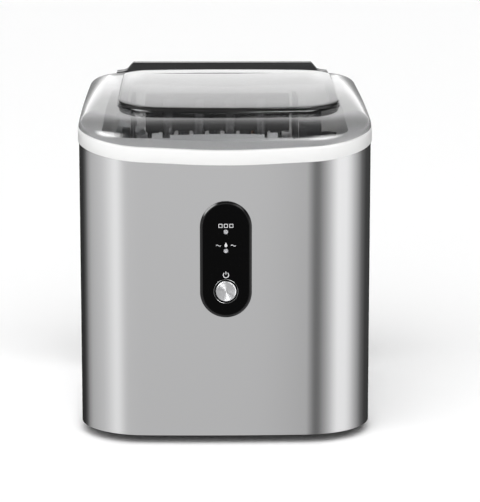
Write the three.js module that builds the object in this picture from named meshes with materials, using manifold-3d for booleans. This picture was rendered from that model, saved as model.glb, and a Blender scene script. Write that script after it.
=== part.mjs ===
// A portable countertop ice maker of the compressor type, which freezes bullet-shaped ice on dipped fingers.
// Units are millimetres. +Z is up, -Y is the front. The origin is on the table, under the middle of the body.
import * as THREE from "three";
import { mergeVertices } from "three/addons/utils/BufferGeometryUtils.js";
import Module from "manifold-3d";

const wasm = await Module();
wasm.setup();

// ---- Driving dimensions ----
const WIDTH = 242; // across the steel wrap
const DEPTH = 315;
const FRONT = -DEPTH / 2;
const REAR = DEPTH / 2;
const FOOT_HEIGHT = 7.2; // from the table to the lower edge of the steel
const SEAM_HEIGHT = 231.3; // top edge of the steel at the middle of the front
const SEAM_RISE = 20; // how far that edge climbs towards the back
const SEAM_RUN = 75; // the depth over which it does most of its climbing
const SEAM_SMILE = 2.2; // how far it also climbs from the middle of the front to the corners
const SMILE_HALF = 85;
const BAND = 12.2; // height of the white band of the top frame
const BULGE = 5; // how far the front bows out
const FRONT_RADIUS = 54;
const REAR_RADIUS = 26;
const GAP = 0.3; // clearance between neighbouring pieces
const PROUD = 2.6; // how far the button and the screw heads stand out of the casing
const STEEL = 0.8;
const WALL = 2.5; // moulded walls

// The lid: its top climbs to the rear, and is slightly arched along the way and crowned from side to side.
const LID_REAR = FRONT + 276.5;
const LID_TOP = 266;
const LID_TOP_AT = FRONT + 49;
const LID_SLOPE = 0.062;
const LID_ARCH = 1.8;
const LID_CROWN = 1.5;
const SHOULDER = { side: 17, front: 38, rear: 11, power: 2.6 }; // its reach inwards, and how square it is
const PLATE = 4.6; // thickness of the raised window
const PLATE_SHIFT = 3.5; // how far the window sits to the right of the middle
const PIN = 2; // radius of the hinge pins
const HINGE = { y: FRONT + 281, z: 275 };
const COVER_TOP = 287;

// The ice-making bay. The tray hangs from an axis along its rear top edge.
const TRAY = { left: -75, right: 59, front: FRONT + 128, rear: FRONT + 190, bottom: 208, top: 242 };
const TRAY_AXIS = { y: FRONT + 192, z: 238 };
const SHOVEL_AXIS = { y: FRONT + 120, z: 203 };
const FINGER_PITCH = 27;
const FINGER_TIP = 214;
const FINGER_HEAD = 265.5;
const JACKET = { front: FRONT + 148, rear: FRONT + 181.6, bottom: 249.5, top: 267 }; // foam round the pipes
const BRACKET = 3;
const SHAFT = 3; // radius of the tray's drive shaft and pivot pin
const ROD = 2.5; // radius of the rod that the shovel turns on

// The tub: a deep reservoir in front and a shallow shelf under the tray.
const TUB = {
  half: 104,
  front: FRONT + 18,
  rear: FRONT + 236,
  deepRear: FRONT + 118,
  top: 228,
  shelf: 163,
  floor: 28,
};
const BASKET = {
  half: 92,
  front: FRONT + 30,
  rear: FRONT + 104,
  bottom: 112.4,
  top: 200,
  lip: 178,
  radius: 20,
};
const BASE = { bottom: 9, top: 12 };
const DRAIN = { x: -60, y: FRONT + 66, bore: 6 };

// The controls on the front.
const PANEL = { z: 154.4, halfWidth: 21.1, halfHeight: 47.9 };
const BUTTON = { z: 128.3, radius: 8.3 };
const LENS = { fullZ: 177.2, waterZ: 161.6, radius: 1.9 };

// The cooling bay behind and under the tub.
const COMPRESSOR = { x: -62, y: FRONT + 252, radius: 49, bottom: 20, top: 148 };
const FAN = { y: FRONT + 238, z: 84, radius: 45, hub: 12 };
const CONDENSER = { x0: 60, x1: 98, y0: FRONT + 180, y1: FRONT + 296, z0: 26, z1: 142 };
const PUMP = { x: 74, y: FRONT + 142, bottom: 13 };
const PIPES = FRONT + 223; // where the refrigerant tubes climb behind the tray
const GLAND = { x: -66, z: 40 };

// ---- Materials ----
const finish = (color, roughness, metalness = 0) =>
  new THREE.MeshStandardMaterial({ color, roughness, metalness });
const steel = finish(0xb8b8ba, 0.3, 1);
const white = finish(0xf4f4f2, 0.4);
const grey = finish(0x6e7072, 0.5);
const black = finish(0x141414, 0.25);
const darkPlastic = finish(0x1b1b1c, 0.6);
const smoke = finish(0x8a8c8e, 0.08);
const chrome = finish(0xd8d8da, 0.15, 1);
const copper = finish(0xb4693c, 0.3, 1);
const aluminium = finish(0xc4c6c8, 0.45, 1);
const rubber = finish(0x1c1c1c, 0.9);
const silicone = finish(0xe2e4e4, 0.5);
const paint = finish(0x18181a, 0.45);
const board = finish(0x1d5a34, 0.6);

// ---- Small geometry kit ----
const group = new THREE.Group();
function add(name, geometry, material) {
  const mesh = new THREE.Mesh(geometry, material);
  mesh.name = name;
  group.add(mesh);
  return mesh;
}

function signedVolume(positions, index) {
  const a = new THREE.Vector3();
  const b = new THREE.Vector3();
  const c = new THREE.Vector3();
  let total = 0;
  for (let i = 0; i < index.length; i += 3) {
    a.fromArray(positions, 3 * index[i]);
    b.fromArray(positions, 3 * index[i + 1]);
    c.fromArray(positions, 3 * index[i + 2]);
    total += a.dot(b.cross(c)) / 6;
  }
  return total;
}

// Joins a row of closed sections, each an array of Vector3 of one length, into a solid. A cyclic row closes
// on itself, and any other is capped with a fan at each end.
function loft(sections, cyclic = false) {
  const size = sections[0].length;
  const positions = sections.flat().flatMap((p) => [p.x, p.y, p.z]);
  const index = [];
  const spans = cyclic ? sections.length : sections.length - 1;
  for (let s = 0; s < spans; s++) {
    const here = s * size;
    const next = ((s + 1) % sections.length) * size;
    for (let i = 0; i < size; i++) {
      const j = (i + 1) % size;
      index.push(here + i, here + j, next + j, here + i, next + j, next + i);
    }
  }
  if (!cyclic) {
    const last = (sections.length - 1) * size;
    for (let i = 1; i < size - 1; i++) {
      index.push(0, i + 1, i, last, last + i, last + i + 1);
    }
  }
  if (signedVolume(positions, index) < 0) index.reverse();
  const geometry = new THREE.BufferGeometry();
  geometry.setAttribute("position", new THREE.Float32BufferAttribute(positions, 3));
  geometry.setIndex(index);
  return geometry;
}

function solid(geometry) {
  const bare = geometry.clone();
  bare.deleteAttribute("normal");
  bare.deleteAttribute("uv");
  const merged = mergeVertices(bare, 1e-3);
  const vertProperties = new Float32Array(merged.attributes.position.array);
  const triVerts = new Uint32Array(merged.index.array);
  return new wasm.Manifold(new wasm.Mesh({ numProp: 3, vertProperties, triVerts }));
}

function geometryOf(manifold) {
  const mesh = manifold.getMesh();
  const geometry = new THREE.BufferGeometry();
  geometry.setAttribute("position", new THREE.BufferAttribute(new Float32Array(mesh.vertProperties), 3));
  geometry.setIndex(new THREE.BufferAttribute(new Uint32Array(mesh.triVerts), 1));
  return geometry;
}

const join = (...geometries) => geometryOf(geometries.map(solid).reduce((a, b) => a.add(b)));
const cut = (body, ...cutters) =>
  geometryOf(cutters.map(solid).reduce((a, b) => a.subtract(b), solid(body)));

function box(x0, x1, y0, y1, z0, z1) {
  const geometry = new THREE.BoxGeometry(x1 - x0, y1 - y0, z1 - z0);
  return geometry.translate((x0 + x1) / 2, (y0 + y1) / 2, (z0 + z1) / 2);
}

// Rods along each axis, from one end to the other.
const rodX = (y, z, radius, x0, x1, sides = 16) =>
  new THREE.CylinderGeometry(radius, radius, x1 - x0, sides)
    .rotateZ(Math.PI / 2)
    .translate((x0 + x1) / 2, y, z);
const rodY = (x, z, radius, y0, y1, sides = 16) =>
  new THREE.CylinderGeometry(radius, radius, y1 - y0, sides).translate(x, (y0 + y1) / 2, z);
const rodZ = (x, y, radius, z0, z1, sides = 16, topRadius = radius) =>
  new THREE.CylinderGeometry(topRadius, radius, z1 - z0, sides)
    .rotateX(Math.PI / 2)
    .translate(x, y, (z0 + z1) / 2);

// A lathe profile of [radius, height] pairs, turned about a vertical axis.
const turned = (profile, x, y, sides = 24) =>
  new THREE.LatheGeometry(profile.map(([r, z]) => new THREE.Vector2(r, z)), sides)
    .rotateX(Math.PI / 2)
    .translate(x, y, 0);

// Prisms of a shape drawn in one plane and pushed along the third axis.
const prismZ = (shape, z0, z1, curveSegments = 6) =>
  new THREE.ExtrudeGeometry(shape, { depth: z1 - z0, bevelEnabled: false, curveSegments })
    .translate(0, 0, z0);
const prismY = (shape, y0, y1, curveSegments = 6) =>
  new THREE.ExtrudeGeometry(shape, { depth: y1 - y0, bevelEnabled: false, curveSegments })
    .rotateX(Math.PI / 2)
    .translate(0, y1, 0);
function prismX(shape, x0, x1, curveSegments = 6) {
  const axes = new THREE.Matrix4().makeBasis(
    new THREE.Vector3(0, 1, 0),
    new THREE.Vector3(0, 0, 1),
    new THREE.Vector3(1, 0, 0),
  );
  return new THREE.ExtrudeGeometry(shape, { depth: x1 - x0, bevelEnabled: false, curveSegments })
    .applyMatrix4(axes)
    .translate(x0, 0, 0);
}

function polygon(points) {
  return new THREE.Shape(points.map(([u, v]) => new THREE.Vector2(u, v)));
}

function roundedRect(u0, u1, v0, v1, radius) {
  const shape = new THREE.Shape();
  shape.moveTo(u0 + radius, v0);
  shape.lineTo(u1 - radius, v0);
  shape.absarc(u1 - radius, v0 + radius, radius, -Math.PI / 2, 0, false);
  shape.lineTo(u1, v1 - radius);
  shape.absarc(u1 - radius, v1 - radius, radius, 0, Math.PI / 2, false);
  shape.lineTo(u0 + radius, v1);
  shape.absarc(u0 + radius, v1 - radius, radius, Math.PI / 2, Math.PI, false);
  shape.lineTo(u0, v0 + radius);
  shape.absarc(u0 + radius, v0 + radius, radius, Math.PI, 1.5 * Math.PI, false);
  return shape;
}

// A shape with straight sides and two half-round ends, standing upright.
const pill = (halfWidth, halfHeight, v) =>
  roundedRect(-halfWidth, halfWidth, v - halfHeight, v + halfHeight, halfWidth);

// A round tube along a smooth curve through the points.
function tube(points, radius, steps, sides = 8) {
  const stops = points.map(([x, y, z]) => new THREE.Vector3(x, y, z));
  const curve = new THREE.CatmullRomCurve3(stops, false, "centripetal");
  const section = new THREE.Shape();
  section.absarc(0, 0, radius, 0, 2 * Math.PI, false);
  return new THREE.ExtrudeGeometry(section, { extrudePath: curve, steps, curveSegments: sides / 2 });
}

// ---- The plan outline, shared by everything that goes round the body ----
const SIDE_STEPS = 6;
const FRONT_CORNER_STEPS = 8;
const FRONT_STEPS = 8;
const REAR_CORNER_STEPS = 4;
const REAR_STEPS = 4;

function arc(x, y, radius, from, steps) {
  const points = [];
  for (let i = 0; i < steps; i++) {
    const angle = from + (i / steps) * (Math.PI / 2);
    points.push(new THREE.Vector2(x + radius * Math.cos(angle), y + radius * Math.sin(angle)));
  }
  return points;
}

function straight(x0, y0, x1, y1, steps, power = 1) {
  const points = [];
  for (let i = 0; i < steps; i++) {
    const t = 1 - (1 - i / steps) ** power;
    points.push(new THREE.Vector2(x0 + (x1 - x0) * t, y0 + (y1 - y0) * t));
  }
  return points;
}

// Points run anticlockwise from above: left side, front, right side, rear. Every outline has the same count,
// so point i of one faces point i of another.
function outline({ half, front, rear, frontRadius, rearRadius, bulge }) {
  const base = front + bulge;
  const fy = base + frontRadius;
  const ry = rear - rearRadius;
  const points = [
    ...straight(-half, ry, -half, fy, SIDE_STEPS, 1.6),
    ...arc(-half + frontRadius, fy, frontRadius, Math.PI, FRONT_CORNER_STEPS),
    ...straight(-half + frontRadius, base, half - frontRadius, base, FRONT_STEPS),
    ...arc(half - frontRadius, fy, frontRadius, -Math.PI / 2, FRONT_CORNER_STEPS),
    ...straight(half, fy, half, ry, SIDE_STEPS, 1 / 1.6),
    ...arc(half - rearRadius, ry, rearRadius, 0, REAR_CORNER_STEPS),
    ...straight(half - rearRadius, rear, -half + rearRadius, rear, REAR_STEPS),
    ...arc(-half + rearRadius, ry, rearRadius, Math.PI / 2, REAR_CORNER_STEPS),
  ];
  for (const p of points) {
    if (p.y < fy + 1e-6) p.y -= bulge * (1 - (p.x / half) ** 2);
  }
  return points;
}

function bodyOutline(inset) {
  return outline({
    half: WIDTH / 2 - inset,
    front: FRONT + inset,
    rear: REAR - inset,
    frontRadius: FRONT_RADIUS - inset,
    rearRadius: REAR_RADIUS - inset,
    bulge: BULGE,
  });
}

// The points of an outline that the left side, the front and the right side take up.
const WRAP_POINTS = 2 * SIDE_STEPS + 2 * FRONT_CORNER_STEPS + FRONT_STEPS + 1;

// The height of the seam between the steel and the white band.
function seam(p) {
  const rise = SEAM_RISE * (1 - Math.exp(-(p.y - FRONT) / SEAM_RUN));
  const smile = (SEAM_SMILE * (1 - Math.cos(Math.PI * Math.min(Math.abs(p.x) / SMILE_HALF, 1)))) / 2;
  return SEAM_HEIGHT + rise + smile;
}

function lidTop(p) {
  const along = (p.y - LID_TOP_AT) / (LID_REAR - LID_TOP_AT);
  const arch = 4 * LID_ARCH * along * (1 - along);
  return LID_TOP + LID_SLOPE * (p.y - LID_TOP_AT) + arch + LID_CROWN * (1 - (p.x / (WIDTH / 2)) ** 2);
}

const at = (p, z) => new THREE.Vector3(p.x, p.y, z);

// A wall that follows part of the outline, up to the seam. Points of outer and inner face each other.
function wallAlong(outer, inner) {
  const section = (p, i) => [
    at(p, FOOT_HEIGHT),
    at(p, seam(p)),
    at(inner[i], seam(p)),
    at(inner[i], FOOT_HEIGHT),
  ];
  return loft(outer.map(section));
}

// ---- Casing ----
function steelWrap() {
  const outer = bodyOutline(0).slice(0, WRAP_POINTS);
  const inner = bodyOutline(STEEL).slice(0, WRAP_POINTS);
  const wall = wallAlong(outer, inner);
  const lap = 1.5; // how far the bezel laps over the steel
  const window = prismY(pill(PANEL.halfWidth - lap, PANEL.halfHeight - lap, PANEL.z), FRONT - 5, FRONT + 12);
  const louvres = [];
  const rows = 9;
  const pitch = 10;
  for (let i = 0; i < rows; i++) {
    const z = 44 + i * pitch;
    louvres.push(box(WIDTH / 2 - 4, WIDTH / 2 + 4, FRONT + 196, FRONT + 248, z, z + 3.4));
  }
  return cut(wall, window, ...louvres);
}

function rearPanel() {
  const closed = (points) => [...points.slice(WRAP_POINTS - 1), points[0]];
  const wall = wallAlong(closed(bodyOutline(0)), closed(bodyOutline(WALL)));
  const edge = REAR - REAR_RADIUS + GAP;
  const trimmed = cut(wall, box(-WIDTH, WIDTH, edge - 8, edge, 0, 300));
  const slots = [];
  for (const x of [-66, 10]) {
    for (let i = 0; i < 9; i++) {
      slots.push(box(x, x + 56, REAR - 6, REAR + 4, 72 + i * 10, 76 + i * 10));
    }
  }
  const gland = rodY(GLAND.x, GLAND.z, 9.3, REAR - 6, REAR + 4);
  return cut(trimmed, gland, ...slots);
}

function basePan() {
  const plan = new THREE.Shape(bodyOutline(STEEL + WALL + 1));
  const pan = prismZ(plan, BASE.bottom, BASE.top);
  const vents = [];
  for (let i = 0; i < 6; i++) {
    const x = -20 + i * 12;
    vents.push(box(x, x + 6, FRONT + 196, FRONT + 256, BASE.bottom - 3, BASE.top + 3));
  }
  return cut(pan, rodZ(DRAIN.x, DRAIN.y, 12, 6, 15), ...vents);
}

function foot(x, y) {
  return rodZ(x, y, 9, 0, BASE.bottom - GAP, 20, 11);
}

// A white moulding: the band that shows, a top face that runs in to the opening, and a skirt to the tub.
function topFrame() {
  const outer = bodyOutline(-0.8);
  const hidden = bodyOutline(2);
  const opening = {
    half: TUB.half - 3,
    front: TUB.front + 3,
    rear: FRONT + 265,
    frontRadius: 24,
    rearRadius: 26,
    bulge: BULGE,
  };
  const inner = outline(opening);
  const skirt = outline({
    ...opening,
    half: opening.half + 2,
    front: opening.front - 2,
    rear: opening.rear + 2,
  });
  const sections = outer.map((p, i) => {
    const top = seam(inner[i]) + BAND;
    return [
      at(p, seam(p) + GAP),
      at(p, seam(p) + BAND - 1),
      at(p.clone().lerp(hidden[i], 0.35), seam(p) + BAND),
      at(inner[i], top),
      at(inner[i], TUB.top + 0.4),
      at(skirt[i], TUB.top + 0.4),
      at(skirt[i], top - 2.5),
      at(hidden[i], seam(hidden[i]) + BAND - 3),
      at(hidden[i], seam(p) + GAP),
    ];
  });
  return loft(sections, true);
}

// The tub: walls, a step down to the reservoir, ledges that carry the basket, and a drain spout.
function innerTub() {
  const plan = (inset, rear) =>
    roundedRect(-TUB.half + inset, TUB.half - inset, TUB.front + inset, rear - inset, 10);
  const block = (inset, deepFloor, shelfFloor, top) =>
    join(
      prismZ(plan(inset, TUB.deepRear), deepFloor, top, 3),
      prismZ(plan(inset, TUB.rear), shelfFloor, top, 3),
    );
  const shell = cut(
    block(0, TUB.floor, TUB.shelf, TUB.top),
    block(WALL, TUB.floor + WALL, TUB.shelf + WALL, TUB.top + 5),
  );
  const ledge = (side) => {
    const [x0, x1] = side < 0 ? [-TUB.half + 1, -TUB.half + 16] : [TUB.half - 16, TUB.half - 1];
    return box(x0, x1, TUB.front + 10, TUB.deepRear - 14, BASKET.bottom - 4, BASKET.bottom - GAP);
  };
  const spout = rodZ(DRAIN.x, DRAIN.y, DRAIN.bore + 3, BASE.bottom - 0.6, TUB.floor + 1);
  const joined = join(shell, ledge(-1), ledge(1), spout);
  return cut(
    joined,
    rodZ(DRAIN.x, DRAIN.y, DRAIN.bore, 5, TUB.floor + 8),
    rodZ(-92, FRONT + 214, 5, 150, 180, 12),
    rodZ(46, PIPES, 5, 150, 180, 12),
    rodZ(28, PIPES, 5, 150, 180, 12),
    rodY(PUMP.x, 60, 5, TUB.deepRear - 8, TUB.deepRear + 5, 12),
  );
}

// The black bridge behind the lid, with two ears that hold the hinge pins.
function hingeCover() {
  const y0 = FRONT + 287.5;
  const y1 = FRONT + 311;
  const bottom = SEAM_HEIGHT + SEAM_RISE + SEAM_SMILE + BAND + GAP;
  const profile = polygon([
    [y0, bottom],
    [y1, bottom],
    [y1 - 1, COVER_TOP - 9],
    [y1 - 4, COVER_TOP - 3],
    [y1 - 9, COVER_TOP],
    [y0 + 3, COVER_TOP],
    [y0 + 0.8, COVER_TOP - 1.2],
  ]);
  const end = (side) => {
    const outside = polygon([
      [side * 82.5, COVER_TOP + 1],
      [side * 88.5, COVER_TOP - 6.8],
      [side * 91.5, COVER_TOP - 7.9],
      [side * 97, COVER_TOP - 8.6],
      [side * 110, COVER_TOP - 8.6],
      [side * 110, COVER_TOP + 1],
    ]);
    return prismY(outside, y0 - 1, y1 + 1);
  };
  const ear = (x) =>
    join(
      rodX(HINGE.y, HINGE.z, 3.5, x, x + 5, 12),
      box(x, x + 5, HINGE.y, y0 + 1, HINGE.z - 3.4, HINGE.z + 3),
    );
  const bar = cut(prismX(profile, -98, 98), end(-1), end(1));
  return cut(
    join(bar, ear(-75), ear(70)),
    rodX(HINGE.y, HINGE.z, PIN + GAP, -76, -69, 12),
    rodX(HINGE.y, HINGE.z, PIN + GAP, 69, 76, 12),
  );
}

// ---- Lid ----
const lidOutline = (inset) =>
  outline({
    half: WIDTH / 2 + 0.2 - inset,
    front: FRONT - 0.2 + inset,
    rear: LID_REAR - inset,
    frontRadius: FRONT_RADIUS - inset,
    rearRadius: REAR_RADIUS - inset,
    bulge: BULGE,
  });
const shoulderOutline = outline({
  half: WIDTH / 2 - SHOULDER.side,
  front: FRONT + SHOULDER.front,
  rear: LID_REAR - SHOULDER.rear,
  frontRadius: 38,
  rearRadius: 18,
  bulge: BULGE,
});

function plateOutline(inset) {
  const points = outline({
    half: 94 - inset,
    front: FRONT + 47 + inset,
    rear: FRONT + 247 - inset,
    frontRadius: 34 - inset,
    rearRadius: 26 - inset,
    bulge: 12,
  });
  for (const p of points) p.x += PLATE_SHIFT;
  return points;
}

// The shoulder rises like a quarter of a squared-off ellipse from the band to the flat top, which is open
// under the window.
const ACROSS = [0, 0.015, 0.06, 0.15, 0.3, 0.55, 1];
const swell = (s) => (1 - (1 - s) ** SHOULDER.power) ** (1 / SHOULDER.power);

function lidShell() {
  const outer = lidOutline(0);
  const inner = lidOutline(WALL);
  const opening = plateOutline(9);
  const sections = outer.map((p, i) => {
    const foot = seam(p) + BAND + GAP;
    const innerFoot = seam(inner[i]) + BAND + GAP;
    const rim = shoulderOutline[i];
    const climb = (from, low, high, s) => at(from.clone().lerp(rim, s), low + (high - low) * swell(s));
    const outside = ACROSS.map((s) => climb(p, foot, lidTop(rim), s));
    const inside = ACROSS.filter((s) => s !== ACROSS[1]).map((s) =>
      climb(inner[i], innerFoot, lidTop(rim) - WALL, s),
    );
    const edge = lidTop(opening[i]);
    return [...outside, at(opening[i], edge), at(opening[i], edge - WALL), ...inside.reverse()];
  });
  const lug = (x) =>
    join(
      rodX(HINGE.y, HINGE.z, 3.5, x, x + 8, 12),
      box(x, x + 8, LID_REAR - 2.4, HINGE.y, HINGE.z - 3.4, HINGE.z + 2),
    );
  return cut(
    join(loft(sections, true), lug(60), lug(-68)),
    rodX(HINGE.y, HINGE.z, PIN + GAP, 59, 69, 12),
    rodX(HINGE.y, HINGE.z, PIN + GAP, -69, -59, 12),
  );
}

function lidWindow() {
  const level = (inset, lift) => plateOutline(inset).map((p) => at(p, lidTop(p) + lift));
  return loft([
    level(12, GAP),
    level(0.6, GAP),
    level(0, 1.2),
    level(0.2, PLATE - 1),
    level(1.8, PLATE),
  ]);
}

const hingePin = (x) => rodX(HINGE.y, HINGE.z, PIN, x, x + 14.4, 12);

// ---- Controls ----
function controlBezel() {
  const layer = (inset, y0, y1) =>
    prismY(pill(PANEL.halfWidth - inset, PANEL.halfHeight - inset, PANEL.z), y0, y1);
  const flange = layer(0, FRONT - 0.9, FRONT - 0.15);
  const face = layer(0.9, FRONT - 1.8, FRONT - 0.5);
  const boss = layer(1.9, FRONT - 1, FRONT + 6);
  return cut(
    join(flange, face, boss),
    rodY(0, BUTTON.z, BUTTON.radius + GAP, FRONT - 5, FRONT + 9, 20),
    rodY(0, LENS.fullZ, LENS.radius + GAP, FRONT - 5, FRONT + 9, 12),
    rodY(0, LENS.waterZ, LENS.radius + GAP, FRONT - 5, FRONT + 9, 12),
  );
}

function powerButton() {
  return join(
    rodY(0, BUTTON.z, BUTTON.radius, FRONT - PROUD, FRONT + 6.8, 24),
    rodY(0, BUTTON.z, BUTTON.radius + 2, FRONT + 6.4, FRONT + 7.8, 24),
  );
}

const lens = (z) => rodY(0, z, LENS.radius, FRONT - 2, FRONT + 10.5, 12);
const controlBoard = () => box(-16, 16, FRONT + 12.4, FRONT + 14, PANEL.z - 42, PANEL.z + 42);
const tactSwitch = () =>
  join(
    box(-3, 3, FRONT + 10.4, FRONT + 12.1, BUTTON.z - 3, BUTTON.z + 3),
    rodY(0, BUTTON.z, 1.7, FRONT + 9.4, FRONT + 11, 12),
  );

// ---- Ice making ----
const ROW_FRONT = FRONT + 150;
const ROW_REAR = FRONT + 176;
const TRAY_CENTRE = (TRAY.left + TRAY.right) / 2;

// Nine fingers hang from a pipe, which is hidden in a foam jacket. The front row stands half out of its face.
function evaporator() {
  const profile = [
    [0, FINGER_TIP],
    [3, FINGER_TIP + 1],
    [4.6, FINGER_TIP + 4],
    [5.4, FINGER_HEAD],
    [0, FINGER_HEAD],
  ];
  const row = (y, count) => {
    const first = TRAY_CENTRE - ((count - 1) / 2) * FINGER_PITCH;
    return Array.from({ length: count }, (_, i) => turned(profile, first + i * FINGER_PITCH, y, 12));
  };
  const fingers = [...row(ROW_REAR, 5), ...row(ROW_FRONT, 4)];
  const { front, rear, bottom, top } = JACKET;
  const jacket = polygon([
    [front, bottom],
    [rear, bottom],
    [rear, top],
    [front + 5, top],
    [front, top - 6],
  ]);
  return join(prismX(jacket, TRAY.left + 6.9, TRAY.right - 2), ...fingers);
}

// The two side plates stand on the shelf and carry the tray, the shovel and the evaporator.
function sideBracket(x) {
  const y0 = FRONT + 113;
  const y1 = FRONT + 204;
  const shelf = TUB.shelf + WALL + GAP;
  const shape = polygon([
    [FRONT + 122, shelf],
    [y1, shelf],
    [y1, 256],
    [y1 - 12, 267],
    [FRONT + 138, 267],
    [FRONT + 132, 252],
    [y0, 214],
    [y0, 196],
  ]);
  const hole = (y, z, radius) => rodX(y, z, radius, x - 1, x + BRACKET + 1);
  return cut(
    prismX(shape, x, x + BRACKET),
    hole(TRAY_AXIS.y, TRAY_AXIS.z, SHAFT + GAP),
    hole(SHOVEL_AXIS.y, SHOVEL_AXIS.z, ROD + GAP),
    hole(FRONT + 169, 250, 8.5),
  );
}

function waterTray() {
  const floor = polygon([
    [TRAY.front, TRAY.top],
    [TRAY.front + 1, TRAY.bottom + 10],
    [TRAY.front + 9, TRAY.bottom + 1],
    [TRAY.rear - 12, TRAY.bottom],
    [TRAY.rear - 2, TRAY.bottom + 8],
    [TRAY.rear, TRAY.top - 4],
    [TRAY.rear, TRAY.top],
  ]);
  const hollow = polygon([
    [TRAY.front + 2, TRAY.top + 3],
    [TRAY.front + 3, TRAY.bottom + 11],
    [TRAY.front + 10, TRAY.bottom + 3],
    [TRAY.rear - 13, TRAY.bottom + 2.4],
    [TRAY.rear - 4, TRAY.bottom + 10],
    [TRAY.rear - 2.4, TRAY.top + 3],
  ]);
  const trough = cut(
    prismX(floor, TRAY.left, TRAY.right),
    prismX(hollow, TRAY.left + 2, TRAY.right - 2),
  );
  const { y, z } = TRAY_AXIS;
  return cut(
    join(trough, rodX(y, z, 5, TRAY.left, TRAY.right)),
    rodX(y, z, SHAFT + GAP, TRAY.left - 1, TRAY.left + 14),
    rodX(y, z, SHAFT + GAP, TRAY.right - 14, TRAY.right + 1),
  );
}

function trayMotor() {
  const { y, z } = TRAY_AXIS;
  return join(
    box(TRAY.right + 9, TRAY.right + 27, y - 20, y + 20, z - 18, z + 16),
    rodX(y - 6, z - 2, 12, TRAY.right + 26, TRAY.right + 40, 18),
  );
}

const trayShaft = () => rodX(TRAY_AXIS.y, TRAY_AXIS.z, SHAFT, TRAY.right - 13, TRAY.right + 9 - GAP, 16);
const trayPin = () =>
  join(
    rodX(TRAY_AXIS.y, TRAY_AXIS.z, SHAFT, TRAY.left - 7, TRAY.left + 12),
    rodX(TRAY_AXIS.y, TRAY_AXIS.z, SHAFT + 3, TRAY.left - 9, TRAY.left - 5 - GAP),
  );
const shovelRod = () => rodX(SHOVEL_AXIS.y, SHOVEL_AXIS.z, ROD, TRAY.left - 6, TRAY.right + 6);

// A slotted blade on a rod: the blade stands in front of the fingers, between two taller arms.
function iceShovel() {
  const { y, z } = SHOVEL_AXIS;
  const leaf = (height, lean, thickness, x0, x1) => {
    const profile = polygon([
      [y - 1, z],
      [y + 2, z],
      [y + lean + thickness, z + height],
      [y + lean, z + height],
    ]);
    return prismX(profile, x0, x1);
  };
  const slot = (x, half, lift) => box(x - half, x + half, y - 8, y + 16, z + lift, z + lift + 2);
  const slots = [slot(-43.6, 1.6, 34), slot(31.6, 1.6, 34)];
  for (let i = 0; i < 7; i++) slots.push(slot(-36 + i * 10.1, 1.9, 32.4));
  return cut(
    join(
      leaf(44, 5.2, 2.2, -46.5, 34.5),
      leaf(30, 3.6, 2.2, -62, 46),
      leaf(46, 5, 3, -62, -53),
      leaf(46, 5, 3, 37, 46),
      rodX(y, z, 4.2, -62, 46),
    ),
    rodX(y, z, ROD + GAP, -63, 47),
    ...slots,
  );
}

function iceBasket() {
  const { half, front, rear, bottom, top, lip, radius } = BASKET;
  const plan = (inset) =>
    roundedRect(-half + inset, half - inset, front + inset, rear - inset, radius - inset);
  const outside = prismZ(plan(0), bottom, top, 4);
  const hollow = prismZ(plan(2), bottom + 2, top + 5, 4);
  const rearLip = box(-half + radius, half - radius - 10, rear - 5, rear + 5, lip, top + 5);
  const slots = [];
  for (let i = 0; i < 6; i++) {
    const x = -66 + i * 24;
    slots.push(box(x, x + 12, front + 16, rear - 16, bottom - 3, bottom + 5));
  }
  for (let i = 0; i < 7; i++) {
    const x = -66 + i * 21;
    slots.push(box(x, x + 6, front - 5, rear + 5, bottom + 20, bottom + 54));
  }
  return cut(outside, hollow, rearLip, ...slots);
}

// ---- Water circuit ----
function pumpHousing() {
  const { x, y, bottom } = PUMP;
  const profile = [
    [0, bottom],
    [20, bottom],
    [20, bottom + 22],
    [9, bottom + 24],
    [7, bottom + 34],
    [4.5, bottom + 34],
    [4.5, bottom + 15],
    [15, bottom + 15],
    [15, bottom + 3],
    [0, bottom + 3],
  ];
  const cup = turned(profile, x, y, 20);
  return join(cup, rodX(y - 12, bottom + 9, 5, x - 32, x - 14, 12));
}

function pumpImpeller() {
  const { x, y, bottom } = PUMP;
  return join(
    rodZ(x, y, 12, bottom + 4, bottom + 6, 16),
    rodZ(x, y, 3.5, bottom + 5, bottom + 13, 12),
    box(x - 12, x + 12, y - 1, y + 1, bottom + 5, bottom + 12),
    box(x - 1, x + 1, y - 12, y + 12, bottom + 5, bottom + 12),
  );
}

const HOSE = 4; // outer radius
const INLET_ROUTE = [
  [PUMP.x, TUB.deepRear - 6, 60],
  [PUMP.x, TUB.deepRear + 8, 60],
  [PUMP.x, PUMP.y - 3, 58],
  [PUMP.x, PUMP.y, 49],
];
const SUPPLY_ROUTE = [
  [PUMP.x - 33, PUMP.y - 12, PUMP.bottom + 9],
  [10, PUMP.y - 6, 24],
  [-70, FRONT + 146, 34],
  [-96, FRONT + 168, 70],
  [-94, FRONT + 206, 120],
  [-92, FRONT + 214, 170],
  [-92, FRONT + 206, 226],
  [-90, FRONT + 180, 251],
  [-71, FRONT + 163, 248],
];
const drainPlug = () =>
  join(rodZ(DRAIN.x, DRAIN.y, DRAIN.bore - 0.6, 7, 22, 12), rodZ(DRAIN.x, DRAIN.y, 11, 3.4, 7.6, 16));

// ---- Cooling circuit ----
function compressorBody() {
  const { x, y, radius, bottom, top } = COMPRESSOR;
  const profile = [
    [0, bottom + 2],
    [radius - 16, bottom + 3],
    [radius - 3, bottom + 14],
    [radius - 3, bottom + 56],
    [radius, bottom + 58],
    [radius, bottom + 66],
    [radius - 4, bottom + 68],
    [radius - 5, top - 24],
    [radius - 18, top - 7],
    [0, top],
  ];
  const footPlate = prismZ(roundedRect(x - 48, x + 48, y - 44, y + 44, 14), bottom, bottom + 4, 3);
  return join(turned(profile, x, y), footPlate);
}

const grommet = (x, y) => turned([[0, 12.3], [10, 12.3], [8, 16], [9, 19.7], [0, 19.7]], x, y, 14);

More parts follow.
